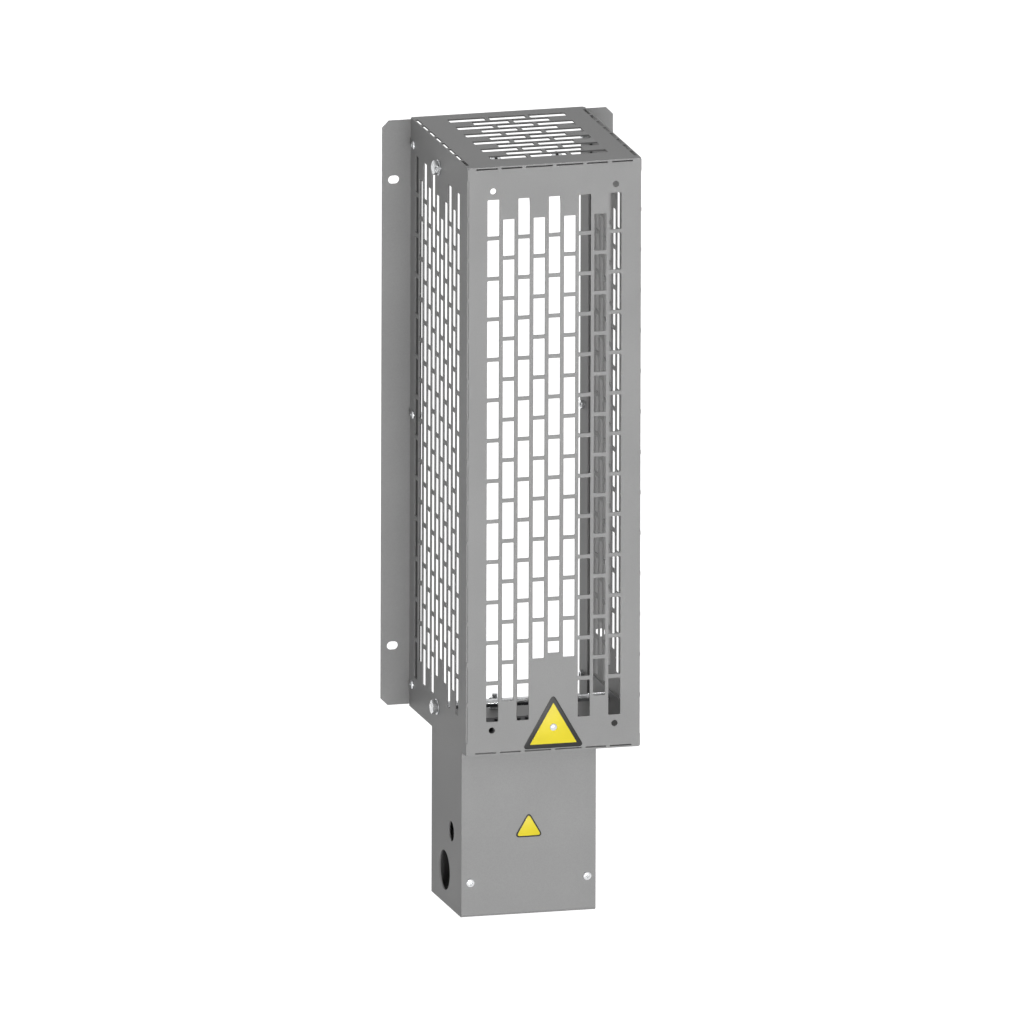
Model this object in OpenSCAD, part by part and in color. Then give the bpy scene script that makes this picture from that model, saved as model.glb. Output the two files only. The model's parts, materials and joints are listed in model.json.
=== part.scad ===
/* [Cage] */
// Width of the cage over its side panels
cage_w = 180; // [176:1:184]
// Depth of the cage, from the front panel's face to the wall
cage_d = 221; // [215:1:240]
// Height of the cage
cage_h = 606; // [600:1:620]
// Thickness of the sheet steel
sheet_t = 1.5; // [1:0.1:2]

/* [Slots] */
// Width of a ventilation slot
slot_w = 12.5; // [10:0.5:13]
// Length of a ventilation slot
slot_l = 37.8; // [30:0.1:39]
// Distance from one slot column to the next
column_pitch = 15.8; // [15:0.1:16]
// Distance from one slot to the next in a column
row_pitch = 41.67; // [41:0.01:42]
// Smallest margin beside the front columns
front_margin = 18; // [15:0.5:20]
// Distance from the front face to the middle of the first side column
side_start = 37.5; // [35:0.5:40]
// Free width kept behind the last side column and roof row
rear_margin = 18; // [17:0.5:19]
// Sideways place of the middle of the roof slots
roof_shift = 3.4; // [0:0.1:5]
// Height of the unslotted field over the triangular plate
blank_top = 101.5; // [98:0.5:104]

// Corner radius of a slot
slot_r = 1; // [0.5:0.1:2]

/* [Bend lines] */
// Width of the slits along the bends
slit_w = 1.4; // [0.8:0.1:2]
// Width of the bridges between the slits
bridge_w = 4; // [3:0.5:6]
// Width of the slits beside the roof
roof_slit_w = 3.2; // [2:0.1:4]
// Length of a slit beside the roof
roof_slit_l = 20.6; // [15:0.1:22]
// Distance from one roof slit to the next
roof_slit_pitch = 25.3; // [24:0.1:27]
// Diameter of the four holes in the front panel
front_hole_d = 6.5; // [4:0.5:8]
// Distance of these holes from the panel's sides
front_hole_side = 26.5; // [24:0.5:30]
// Distance of holes, rods and screws from the cage's ends
end_inset = 25.3; // [24:0.1:27]

/* [Wall rails] */
// Width of the wall flange outside the cage
flange_w = 29.5; // [27:0.5:35]
// Depth of the rail's web inside the cage
web_d = 30; // [26:1:34]
// Gap between a rail's end and the cage's end
rail_gap = 2; // [1.8:0.1:4]
// Size of the flange's corner chamfers
flange_chamfer = 7; // [3:0.5:10]
// Length of a mounting slot
mount_slot_l = 11.5; // [10:0.5:13]
// Width of a mounting slot
mount_slot_w = 8.5; // [6.5:0.1:9]
// Distance from the middle of a mounting slot to the cage's side
mount_side = 17.5; // [16:0.1:19]
// Vertical distance between the mounting slots
mount_span = 480; // [460:1:500]
// Thickness of the black seal strips
seal_t = 0.5; // [0.4:0.1:2]
// How far a seal strip shows in front of the web
seal_show = 7; // [4:0.5:9]
// Distance of the rail screws from the wall
rail_screw_y = 15.5; // [14:0.5:17]
// Thread diameter of the rail screws
rail_screw_d = 5; // [4:0.5:5]

/* [Tie rods] */
// Thread diameter of the tie rods
tie_d = 8; // [6:1:8]
// Distance of the tie rods from the front face
tie_y = 110.5; // [110:0.1:112]

/* [Resistor rods] */
// Number of hairpin rods
rod_count = 4; // [2:2:4]
// Diameter of a rod's sheath
rod_d = 4; // [3:0.1:4.2]
// Distance from the terminal cover's face to the front legs
front_leg_gap = 41.6; // [40:0.1:43]
// Distance from the rear legs to the terminal box's back
rear_leg_gap = 17.6; // [16:0.1:19]
// Distance of the rod bends' tops below the upper tie rod's middle
bend_drop = 2.4; // [2:0.1:40]
// Diameter of the ceramic spools under the bends
spool_d = 20; // [16:0.5:22]
// Length of a leg below the cage floor
leg_tail = 12; // [10:0.5:14]

/* [Element flange] */
// Thickness of the element flange
flange_t = 2; // [1.5:0.1:3]
// Width of the floor opening
opening_w = 104; // [100:1:106]
// Distance from the legs to the opening's front and rear edges
opening_margin = 12.7; // [12:0.1:15]
// How far the flange laps over the floor at the opening's sides
flange_lap = 12; // [10:0.5:14]
// How far the flange laps over the floor in front of and behind the opening
flange_end_lap = 7; // [6:0.5:10]
// Diameter of the swaged bushings
bushing_d = 8; // [7:0.1:9]
// Width across flats of the bushing nuts
bushing_af = 11; // [10:0.5:12]

/* [Terminal box] */
// Width of the terminal box
box_w = 139; // [136:1:142]
// Height of the terminal box
box_h = 170; // [168:1:200]
// Depth of the terminal box
box_d = 117.8; // [116:0.1:125]
// Distance of the cover's face behind the cage's front face
box_inset = 17; // [16:0.5:20]
// Outer radius of the box's bends
bend_r = 3; // [2.5:0.1:4]
// Diameter of the large cable hole
cable_hole_d = 40.5; // [32:0.5:41]
// Height of the large hole's middle above the box's bottom
cable_hole_z = 34; // [30:0.5:40]
// Distance of the large hole's middle from the cage's front face
cable_hole_y = 82; // [76:0.5:88]
// Diameter of the small cable hole
sensor_hole_d = 20.5; // [16:0.5:21]
// Height of the small hole's middle above the box's bottom
sensor_hole_z = 79.8; // [76:0.1:84]
// Distance of the small hole's middle from the cage's front face
sensor_hole_y = 56.5; // [50:0.5:60]
// Height of the cover screws above the box's bottom
cover_screw_z = 35.5; // [30:0.5:40]
// Distance of the cover screws from the box's sides
cover_screw_side = 9; // [8.5:0.5:10]
// Thread diameter of the cover screws
cover_screw_d = 5; // [4:0.5:5]
// Gap round the cover
cover_gap = 0.4; // [0.3:0.1:0.8]

/* [Terminals] */
// Height of the terminal rail's middle above the box's bottom
rail_mid_z = 76; // [70:1:80]
// Width of a power terminal
power_w = 12; // [10:0.5:13]
// Width of a switch terminal
switch_w = 6; // [5:0.5:7]
// Height of a terminal
terminal_h = 46; // [40:1:50]
// Depth of a terminal
terminal_d = 42; // [36:1:46]
// Sideways place of the first terminal
terminal_x = -34; // [-36:1:-32]

/* [Triangular plates] */
// Side of the large plate
large_plate = 59.7; // [50:0.1:62]
// Side of the small plate
small_plate = 25.7; // [20:0.1:30]
// Height of the large plate's lower edge above the cage's bottom
large_plate_z = 3.8; // [2:0.1:6]
// Height of the small plate's lower edge above the box's bottom
small_plate_z = 80; // [70:0.5:90]
// Thickness of the plates
plate_t = 0.6; // [0.4:0.1:1]
// Corner radius of the large plate
plate_r = 3; // [2:0.1:4]
// Corner radius of the small plate
small_plate_r = 1.4; // [1:0.1:2]
// Width of the large plate's rim
border_w = 4.5; // [3:0.1:6]
// Width of the small plate's rim
small_border_w = 1; // [0.6:0.1:2]

/* [Hidden] */
$fn = 32;

steel = [0.66, 0.66, 0.66];
dark_steel = [0.45, 0.45, 0.46];
zinc = [0.8, 0.8, 0.82];
black = [0.08, 0.08, 0.08];
copper = [0.8, 0.45, 0.3];
ceramic = [0.93, 0.91, 0.86];
yellow = [0.93, 0.86, 0.3];
border_grey = [0.25, 0.25, 0.25];
terminal_grey = [0.55, 0.56, 0.55];
lead_white = [0.85, 0.83, 0.78];

half_w = cage_w / 2;
inner_w = half_w - sheet_t;
roof_z = cage_h - sheet_t;
mid_z = cage_h / 2;
panel_back = cage_d - sheet_t;
front_columns = floor((cage_w - 2 * front_margin + column_pitch - slot_w) / column_pitch);
side_columns = floor((cage_d - side_start - slot_w / 2 - rear_margin) / column_pitch) + 1;
end_margin = 30;
rows = floor((cage_h - 2 * end_margin + row_pitch - slot_l) / row_pitch);
mid_column = (front_columns - 1) / 2;
tie_column = floor((tie_y - side_start) / column_pitch);
web_x = inner_w - seal_t;
web_front = cage_d - web_d;
seal_front = web_front - seal_show;
rail_ends = [rail_gap, cage_h - rail_gap];
screw_heights = [end_inset, mid_z, cage_h - end_inset];
front_bridges = [0, 31.5, 57, 83];
roof_lip_h = 8;
upstand_h = 32;
hole_slack = 0.25;
head_h = 2.8;
head_rim_h = 1.26;
nut_h = 4;
rail_grip = sheet_t + seal_t + sheet_t + nut_h + 1;
tie_nut_h = 5.2;
hanger_nut_h = 4.5;
washer_t = 1.6;
tie_washer_d = 16;
tie_af = 13;
tie_end = half_w + washer_t + tie_nut_h + 0.6;
box_back = box_inset + box_d;
leg_y = box_inset + front_leg_gap;
back_leg_y = box_back - rear_leg_gap;
leg_span = back_leg_y - leg_y;
loop_y = leg_y + leg_span / 2;
loop_r = leg_span / 2;
upper_tie_z = cage_h - end_inset;
bend_z = upper_tie_z - bend_drop - rod_d / 2 - loop_r;
spool_z = bend_z + loop_r - rod_d / 2 - spool_d / 2;
hanger_x = rod_count / 2 * column_pitch;
hanger_t = 1.5;
hanger_w = 18;
support_d = 6;
support_nut_h = 5;
spool_gap = 0.4;
support_out = hanger_x + hanger_t / 2;
rod_xs = [for (i = [0 : rod_count - 1]) (i - (rod_count - 1) / 2) * column_pitch];
leg_ys = [leg_y, back_leg_y];
opening_x = -4;
opening_y = loop_y;
opening_d = leg_span + 2 * opening_margin;
opening_r = 6;
flange_z = sheet_t;
flange_top = flange_z + flange_t;
flange_screw_d = 4;
flange_screw_x = opening_w / 2 + flange_lap / 2;
flange_screw_inset = 12;
flange_screw_y = opening_d / 2 - flange_screw_inset;
bushing_top = 4;
bushing_nut_h = 4;
bushing_bottom = flange_z - bushing_nut_h - 1;
bead_d = 7;
bead_h = 5;
bead_bottom = -leg_tail - bead_h;
pin_d = 2.4;
pin_tail = 6;
link_t = 0.8;
pin_nut_h = 2;
pin_nut_af = 5;
link_w = 7;
lug_w = 3;
lug_l = 10;
switch_d = 15;
switch_h = 7;
switch_inset = 9.5;
switch_x = opening_x - opening_w / 2 + switch_inset;
blade_x = 3;
blade_z = -13;
box_left = -half_w;
box_right = box_left + box_w;
wrap_front = box_inset + sheet_t + cover_gap;
cover_mid_x = (box_left + box_right) / 2;
lip_w = 16;
box_screw_inset = 14;
box_top = -0.05;
cover_screws_x = [box_left + cover_screw_side, box_right - cover_screw_side];
cover_nut_h = 5;
cover_return = 14;
lug_h = 22;
earth_stud_x = -12;
earth_stud_y = 181;
earth_stud_d = 6;
din_z = rail_mid_z - box_h;
din_t = 1;
din_depth = 7.5;
din_half = 17.5;
din_step = 12.5;
din_front = box_back - sheet_t - din_depth;
terminal_gap = 0.2;
power_x1 = terminal_x;
power_x2 = power_x1 + power_w + terminal_gap;
earth_x = power_x2 + power_w + terminal_gap;
switch_x1 = earth_x + power_w + terminal_gap;
switch_x2 = switch_x1 + switch_w + terminal_gap;
terminals_end = switch_x2 + switch_w + terminal_gap;
stop_w = 7;
entry_y = din_front - terminal_d * 0.62;
entry_z = din_z + terminal_h * 0.36;
power_lead_d = 4;
switch_lead_d = 2;
lead_dip = [0, -14, -4];
lead_rise = [0, 0, 30];
switch_lead_dips = [[0, 4, -16], [0, 10, -16]];
switch_lead_rise = [0, 0, 34];
lug_end = [0, leg_y - lug_l, bead_bottom - link_t - power_lead_d / 2];
field_t = 0.3;
field_r = 0.4;
tangent_step = 0.01;
large_inradius = inradius(large_plate, plate_r);
small_inradius = inradius(small_plate, small_plate_r);
large_centre_z = large_plate_z + large_inradius;
small_centre_z = small_plate_z + small_inradius - box_h;
rivet_head_d = 7.8;
rivet_head_h = 1.8;
rivet_d = 3.2;
rivet_tail_h = 1;

module hex_prism(af, h) {
    cylinder(d = af / cos(30), h = h, $fn = 6);
}

module ring(outer_d, inner_d, h) {
    difference() {
        cylinder(d = outer_d, h = h);
        translate([0, 0, -1]) cylinder(d = inner_d, h = h + 2, $fn = 24);
    }
}

module hex_nut(af, d, h) {
    difference() {
        hex_prism(af, h);
        translate([0, 0, -1]) cylinder(d = d, h = h + 2, $fn = 24);
    }
}

module dome(r, h) {
    dome_r = (r * r + h * h) / (2 * h);
    rotate_extrude() intersection() {
        translate([0, h - dome_r]) circle(dome_r, $fn = 64);
        square([2 * r, h]);
    }
}

module rounded_square(w, h, r, sides = 32) {
    translate([r, 0]) square([w - 2 * r, h]);
    translate([0, r]) square([w, h - 2 * r]);
    for (x = [r, w - r], y = [r, h - r]) translate([x, y]) circle(r, $fn = sides);
}

module along_x() { rotate([90, 0, 90]) children(); }

module along_y() { rotate([-90, 0, 0]) children(); }

module in_frame() { translate([0, -cage_d, -mid_z]) children(); }

module side_copies() {
    children();
    mirror([1, 0, 0]) children();
}

module slot(w, h) {
    rounded_square(w, h, slot_r, 16);
}

module slot_column(count, lowest = 0) {
    first = mid_z - ((count - 1) * row_pitch + slot_l) / 2;
    for (i = [0 : count - 1]) {
        bottom = max(first + i * row_pitch, lowest);
        top = first + i * row_pitch + slot_l;
        if (top - bottom > slot_l / 4) translate([-slot_w / 2, bottom]) slot(slot_w, top - bottom);
    }
}

function column_rows(i) = i % 2 == 0 ? rows : rows - 1;

module front_slits() {
    for (side = [0, 1], i = [1 : len(front_bridges) - 1]) mirror([side, 0])
        translate([front_bridges[i - 1] + bridge_w / 2, 0])
            square([front_bridges[i] - front_bridges[i - 1] - bridge_w, slit_w]);
}

module edge_slits(length, pitch, slit, width) {
    count = floor((length - 2 * bridge_w - slit) / pitch) + 1;
    start = (length - (count - 1) * pitch - slit) / 2;
    for (i = [0 : count - 1]) translate([start + i * pitch, 0]) square([slit, width]);
}

module front_panel_outline() {
    difference() {
        translate([-half_w, sheet_t]) square([cage_w, cage_h - 2 * sheet_t]);
        for (i = [0 : front_columns - 1]) {
            x = (i - mid_column) * column_pitch;
            beside = abs(i - mid_column);
            lowest = beside < 0.6 ? blank_top : beside < 1.6 ? blank_top - 5 : 0;
            translate([x, 0]) slot_column(column_rows(i), lowest);
        }
        for (x = [-1, 1], z = [end_inset, cage_h - end_inset])
            translate([x * (half_w - front_hole_side), z]) circle(d = front_hole_d);
        translate([0, end_inset]) circle(d = rivet_d);
        for (side = [0, 1]) mirror([side, 0]) translate([half_w, 0]) rotate(90)
            edge_slits(cage_h, row_pitch, row_pitch - bridge_w, slit_w);
        for (z = [sheet_t, roof_z - slit_w]) translate([0, z]) front_slits();
    }
}

module front_panel() {
    color(steel) in_frame() translate([0, sheet_t, 0]) rotate([90, 0, 0])
        linear_extrude(sheet_t) front_panel_outline();
}

module side_panel() {
    color(steel) in_frame() translate([-half_w, 0, 0]) along_x()
        linear_extrude(sheet_t) difference() {
            translate([sheet_t, 0]) square([panel_back - sheet_t, cage_h]);
            for (i = [0 : side_columns - 1]) translate([side_start + i * column_pitch, 0])
                slot_column(i == tie_column ? rows - 2 : column_rows(i));
            for (z = screw_heights) translate([cage_d - rail_screw_y, z])
                circle(d = rail_screw_d + 2 * hole_slack);
            for (z = [end_inset, upper_tie_z]) translate([tie_y, z]) circle(d = tie_d + 2 * hole_slack);
        }
}

module left_side_panel() { side_panel(); }

module right_side_panel() { mirror([1, 0, 0]) side_panel(); }

module roof_rows() {
    for (i = [0 : side_columns - 1]) {
        count = i % 2 == 0 ? 3 : 2;
        first = roof_shift - ((count - 1) * row_pitch + slot_l) / 2;
        y = side_start + i * column_pitch - slot_w / 2;
        for (j = [0 : count - 1]) translate([first + j * row_pitch, y]) slot(slot_l, slot_w);
    }
}

module roof_panel() {
    color(steel) in_frame() {
        translate([0, 0, roof_z]) linear_extrude(sheet_t) difference() {
            translate([-inner_w, 0]) square([2 * inner_w, cage_d]);
            roof_rows();
            for (side = [0, 1]) mirror([side, 0]) translate([inner_w, 0]) rotate(90)
                edge_slits(cage_d, roof_slit_pitch, roof_slit_l, roof_slit_w);
        }
        translate([roof_slit_w - inner_w, sheet_t, roof_z - roof_lip_h])
            cube([2 * (inner_w - roof_slit_w), sheet_t, roof_lip_h]);
    }
}

module opening_outline() {
    translate([opening_x - opening_w / 2, opening_y - opening_d / 2])
        rounded_square(opening_w, opening_d, opening_r);
}

module flange_screw_places() {
    for (x = [-1, 1], y = [-1, 1])
        translate([opening_x + x * flange_screw_x, opening_y + y * flange_screw_y]) children();
}

module box_screw_places() {
    left_x = box_left + sheet_t + lip_w / 2;
    right_x = box_right - sheet_t - lip_w / 2;
    front_y = box_inset + box_screw_inset;
    for (place = [[left_x, front_y], [left_x, box_back - box_screw_inset], [right_x, front_y]])
        translate(place) children();
}

module floor_tray() {
    color(steel) in_frame() {
        linear_extrude(sheet_t) difference() {
            translate([-inner_w, 0]) square([2 * inner_w, cage_d]);
            opening_outline();
            flange_screw_places() circle(d = flange_screw_d + 2 * hole_slack);
            box_screw_places() circle(d = flange_screw_d);
            translate([earth_stud_x, earth_stud_y]) circle(d = earth_stud_d + 2 * hole_slack);
        }
        side_copies() difference() {
            translate([-inner_w, sheet_t, 0]) cube([sheet_t, seal_front - 1 - sheet_t, upstand_h]);
            translate([-half_w, tie_y, end_inset]) along_x()
                cylinder(d = tie_d + 2 * hole_slack, h = 3 * sheet_t);
        }
    }
}

module wall_rail() {
    length = rail_ends[1] - rail_ends[0];
    color(steel) in_frame() {
        translate([-web_x, web_front, rail_ends[0]]) difference() {
            cube([sheet_t, web_d, length]);
            for (z = screw_heights) translate([-1, web_d - rail_screw_y, z - rail_ends[0]]) along_x()
                cylinder(d = rail_screw_d + 2 * hole_slack, h = sheet_t + 2);
        }
        translate([0, cage_d, 0]) rotate([90, 0, 0]) linear_extrude(sheet_t) difference() {
            translate([-half_w - flange_w, rail_ends[0]]) polygon([
                [0, flange_chamfer], [flange_chamfer, 0], [half_w + flange_w - web_x + sheet_t, 0],
                [half_w + flange_w - web_x + sheet_t, length], [flange_chamfer, length],
                [0, length - flange_chamfer]]);
            for (z = [-1, 1]) translate([-half_w - mount_side, mid_z + z * mount_span / 2]) mount_slot();
        }
    }
}

module mount_slot() {
    run = (mount_slot_l - mount_slot_w) / 2;
    translate([-run, -mount_slot_w / 2]) square([2 * run, mount_slot_w]);
    for (x = [-run, run]) translate([x, 0]) circle(d = mount_slot_w);
}

module left_wall_rail() { wall_rail(); }

module right_wall_rail() { mirror([1, 0, 0]) wall_rail(); }

module seal_strip() {
    color(black) in_frame() translate([-inner_w, 0, rail_ends[0]]) difference() {
        translate([0, seal_front, 0]) cube([seal_t, panel_back - seal_front, rail_ends[1] - rail_ends[0]]);
        for (z = screw_heights) translate([-1, cage_d - rail_screw_y, z - rail_ends[0]]) along_x()
            cylinder(d = rail_screw_d + 2 * hole_slack, h = seal_t + 2);
    }
}

module left_seal_strip() { seal_strip(); }

module right_seal_strip() { mirror([1, 0, 0]) seal_strip(); }

module pan_screw(d, grip) {
    head_r = d * 0.9;
    difference() {
        union() {
            translate([0, 0, -grip]) cylinder(d = d, h = grip);
            cylinder(r = head_r, h = head_rim_h);
            translate([0, 0, head_rim_h]) dome(head_r, head_h - head_rim_h);
        }
        translate([-head_r, -0.5, head_h * 0.6]) cube([2 * head_r, 1, head_h]);
    }
}

module rail_screws() {
    color(zinc) in_frame() side_copies() for (z = screw_heights)
        translate([-half_w, cage_d - rail_screw_y, z]) rotate([0, -90, 0])
            pan_screw(rail_screw_d, rail_grip);
}

module rail_nuts() {
    color(zinc) in_frame() side_copies() for (z = screw_heights)
        translate([-web_x + sheet_t, cage_d - rail_screw_y, z]) along_x()
            hex_nut(rail_screw_d * 1.6, rail_screw_d, nut_h);
}

module tie_rod(z) {
    color(zinc) in_frame() translate([-tie_end, tie_y, z]) along_x() cylinder(d = tie_d, h = 2 * tie_end);
}

module upper_tie_rod() { tie_rod(upper_tie_z); }

module lower_tie_rod() { tie_rod(end_inset); }

module tie_rod_washers() {
    color(zinc) in_frame() side_copies() for (z = [end_inset, upper_tie_z])
        translate([half_w, tie_y, z]) along_x() ring(tie_washer_d, tie_d, washer_t);
}

module tie_rod_nuts() {
    color(zinc) in_frame() side_copies() for (z = [end_inset, upper_tie_z])
        translate([half_w + washer_t, tie_y, z]) along_x() hex_nut(tie_af, tie_d, tie_nut_h);
}

module hanger_nuts() {
    inner = hanger_x - hanger_t / 2 - hanger_nut_h;
    outer = hanger_x + hanger_t / 2;
    color(zinc) in_frame() side_copies() for (x = [inner, outer])
        translate([x, tie_y, upper_tie_z]) along_x() hex_nut(tie_af, tie_d, hanger_nut_h);
}

module hanger_outline() {
    run = [loop_y - tie_y, spool_z - upper_tie_z];
    reach = norm(run);
    translate([tie_y, upper_tie_z]) rotate(atan2(run[1], run[0])) {
        translate([0, -hanger_w / 2]) square([reach, hanger_w]);
        circle(d = hanger_w);
        translate([reach, 0]) circle(d = hanger_w);
    }
}

module hanger_plates() {
    color(dark_steel) in_frame() side_copies() translate([hanger_x - hanger_t / 2, 0, 0]) along_x()
        linear_extrude(hanger_t) difference() {
            hanger_outline();
            translate([tie_y, upper_tie_z]) circle(d = tie_d);
            translate([loop_y, spool_z]) circle(d = support_d);
        }
}

module support_rod() {
    length = 2 * (support_out + support_nut_h + 1);
    color(zinc) in_frame() translate([-length / 2, loop_y, spool_z]) along_x()
        cylinder(d = support_d, h = length);
}

module support_rod_nuts() {
    color(zinc) in_frame() side_copies() translate([support_out, loop_y, spool_z]) along_x()
        hex_nut(support_d * 1.65, support_d, support_nut_h);
}

module ceramic_spools() {
    pitch = (2 * hanger_x - hanger_t) / rod_count;
    color(ceramic) in_frame() for (i = [0 : rod_count - 1])
        translate([(i - rod_count / 2) * pitch + spool_gap / 2, loop_y, spool_z]) along_x()
            ring(spool_d, support_d, pitch - spool_gap);
}

module resistor_rod(i) {
    color(dark_steel) in_frame() translate([rod_xs[i], 0, 0]) {
        for (y = leg_ys) translate([0, y, -leg_tail]) cylinder(d = rod_d, h = bend_z + leg_tail, $fn = 24);
        translate([0, loop_y, bend_z]) rotate([90, 0, 90]) rotate_extrude(angle = 180, $fn = 48)
            translate([loop_r, 0]) circle(d = rod_d, $fn = 24);
    }
}

module resistor_rod_1() { resistor_rod(0); }
module resistor_rod_2() { resistor_rod(1); }
module resistor_rod_3() { if (rod_count > 2) resistor_rod(2); }
module resistor_rod_4() { if (rod_count > 2) resistor_rod(3); }

module leg_places() {
    for (x = rod_xs, y = leg_ys) translate([x, y, 0]) children();
}

module element_flange() {
    w = opening_w + 2 * flange_lap;
    d = opening_d + 2 * flange_end_lap;
    color(dark_steel) in_frame() translate([0, 0, flange_z]) linear_extrude(flange_t) difference() {
        translate([opening_x - w / 2, opening_y - d / 2]) rounded_square(w, d, opening_r);
        for (x = rod_xs, y = leg_ys) translate([x, y]) circle(d = bushing_d);
        flange_screw_places() circle(d = flange_screw_d + 2 * hole_slack);
        translate([switch_x, opening_y]) circle(d = switch_d - 4);
    }
}

module flange_screws() {
    color(zinc) in_frame() flange_screw_places() translate([0, 0, flange_top])
        pan_screw(flange_screw_d, flange_t + sheet_t + nut_h);
}

module flange_nuts() {
    height = nut_h - 0.8;
    color(zinc) in_frame() flange_screw_places() translate([0, 0, -height])
        hex_nut(flange_screw_d * 1.75, flange_screw_d, height);
}

module rod_bushings() {
    color(dark_steel) in_frame() leg_places() difference() {
        union() {
            translate([0, 0, bushing_bottom]) cylinder(d = bushing_d, h = flange_top - bushing_bottom);
            translate([0, 0, flange_top]) cylinder(d = bushing_d + 3, h = bushing_top);
        }
        translate([0, 0, bushing_bottom - 1])
            cylinder(d = rod_d, h = flange_top + bushing_top + 8, $fn = 24);
    }
}

module bushing_nuts() {
    color(zinc) in_frame() leg_places() translate([0, 0, flange_z - bushing_nut_h])
        hex_nut(bushing_af, bushing_d, bushing_nut_h);
}

module ceramic_beads() {
    color(ceramic) in_frame() leg_places() translate([0, 0, bead_bottom])
        ring(bead_d, pin_d, bead_h);
}

module terminal_pins() {
    color(zinc) in_frame() leg_places() translate([0, 0, bead_bottom - pin_tail])
        cylinder(d = pin_d, h = bead_h + pin_tail, $fn = 24);
}

module series_link(a, b, y) {
    translate([0, y, bead_bottom - link_t]) linear_extrude(link_t) difference() {
        union() {
            translate([rod_xs[a], -link_w / 2]) square([rod_xs[b] - rod_xs[a], link_w]);
            for (i = [a, b]) translate([rod_xs[i], 0]) circle(d = link_w);
        }
        for (i = [a, b]) translate([rod_xs[i], 0]) circle(d = pin_d, $fn = 24);
    }
}

module lead_lug(i) {
    translate([rod_xs[i], leg_y, bead_bottom - link_t]) linear_extrude(link_t) difference() {
        union() {
            circle(d = link_w);
            translate([-lug_w / 2, -lug_l]) square([lug_w, lug_l]);
        }
        circle(d = pin_d, $fn = 24);
    }
}

module series_links() {
    color(copper) in_frame() {
        for (i = [0 : 2 : rod_count - 2]) series_link(i, i + 1, back_leg_y);
        for (i = [1 : 2 : rod_count - 3]) series_link(i, i + 1, leg_y);
        for (i = [0, rod_count - 1]) lead_lug(i);
    }
}

module pin_nuts() {
    color(zinc) in_frame() leg_places() translate([0, 0, bead_bottom - link_t - pin_nut_h])
        hex_nut(pin_nut_af, pin_d, pin_nut_h);
}

module thermal_switch() {
    color(black) in_frame() translate([switch_x, opening_y, 0]) {
        translate([0, 0, flange_top]) cylinder(d = switch_d, h = switch_h);
        translate([0, 0, flange_z - 3]) cylinder(d = switch_d - 4, h = flange_top - flange_z + 3);
        for (x = [-blade_x, blade_x]) translate([x - 0.4, -2, blade_z]) cube([0.8, 4, flange_z - blade_z]);
    }
}

module floor_stud() {
    color(zinc) in_frame() translate([earth_stud_x, earth_stud_y, -0.5 - head_h]) {
        cylinder(d = earth_stud_d, h = 20.5);
        cylinder(d = 2 * earth_stud_d, h = 0.5 + head_h);
    }
}

module floor_stud_nuts() {
    color(zinc) in_frame() translate([earth_stud_x, earth_stud_y, sheet_t]) difference() {
        union() {
            cylinder(d = 2 * earth_stud_d, h = washer_t);
            translate([0, 0, washer_t]) hex_prism(10, nut_h + 1);
            translate([0, 0, washer_t + nut_h + 1]) cylinder(d = 2 * earth_stud_d, h = 1);
            translate([0, 0, washer_t + nut_h + 2]) hex_prism(10, nut_h);
        }
        translate([0, 0, -1]) cylinder(d = earth_stud_d, h = washer_t + 2 * nut_h + 4);
    }
}

module wrap_outline() {
    depth = box_back - wrap_front;
    inner_r = bend_r - sheet_t;
    difference() {
        translate([box_left, wrap_front]) union() {
            square([box_w, depth - bend_r]);
            translate([bend_r, 0]) square([box_w - 2 * bend_r, depth]);
            for (x = [bend_r, box_w - bend_r]) translate([x, depth - bend_r]) circle(bend_r);
        }
        translate([box_left + sheet_t, wrap_front - 1]) union() {
            square([box_w - 2 * sheet_t, depth + 1 - bend_r]);
            translate([inner_r, 0]) square([box_w - 2 * bend_r, depth + 1 - sheet_t]);
            for (x = [inner_r, box_w - 2 * sheet_t - inner_r])
                translate([x, depth + 1 - bend_r]) circle(inner_r);
        }
    }
}

module box_floor() {
    front = wrap_front + 2 * cover_gap;
    translate([box_left + sheet_t, front, box_top - box_h + sheet_t + cover_gap])
        cube([box_w - 2 * sheet_t, box_back - bend_r - front, sheet_t]);
}

module cover_lugs() {
    z = box_top - box_h + cover_screw_z;
    for (side = [0, 1]) {
        x = cover_screws_x[side];
        edge = side == 0 ? box_left + sheet_t : x - cover_screw_side + sheet_t;
        difference() {
            translate([edge, wrap_front, z - lug_h / 2])
                cube([2 * cover_screw_side - 2 * sheet_t, sheet_t, lug_h]);
            translate([x, wrap_front - 1, z]) along_y()
                cylinder(d = cover_screw_d + 2 * cover_gap, h = sheet_t + 2);
        }
    }
}

module terminal_box() {
    color(steel) in_frame() {
        difference() {
            translate([0, 0, box_top - box_h]) linear_extrude(box_h) wrap_outline();
            translate([box_left - 1, cable_hole_y, cable_hole_z - box_h]) along_x()
                cylinder(d = cable_hole_d, h = sheet_t + 3, $fn = 64);
            translate([box_left - 1, sensor_hole_y, sensor_hole_z - box_h]) along_x()
                cylinder(d = sensor_hole_d, h = sheet_t + 3, $fn = 48);
        }
        box_floor();
        cover_lugs();
        translate([0, 0, box_top - sheet_t]) linear_extrude(sheet_t) difference() {
            translate([box_left + sheet_t, wrap_front]) square([lip_w, box_back - wrap_front - bend_r]);
            box_screw_places() circle(d = flange_screw_d + 2 * hole_slack);
        }
        translate([0, 0, box_top - sheet_t]) linear_extrude(sheet_t) difference() {
            translate([box_right - sheet_t - lip_w, wrap_front])
                square([lip_w, opening_y - opening_d / 2 - wrap_front - 1]);
            box_screw_places() circle(d = flange_screw_d + 2 * hole_slack);
        }
    }
}

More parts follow.
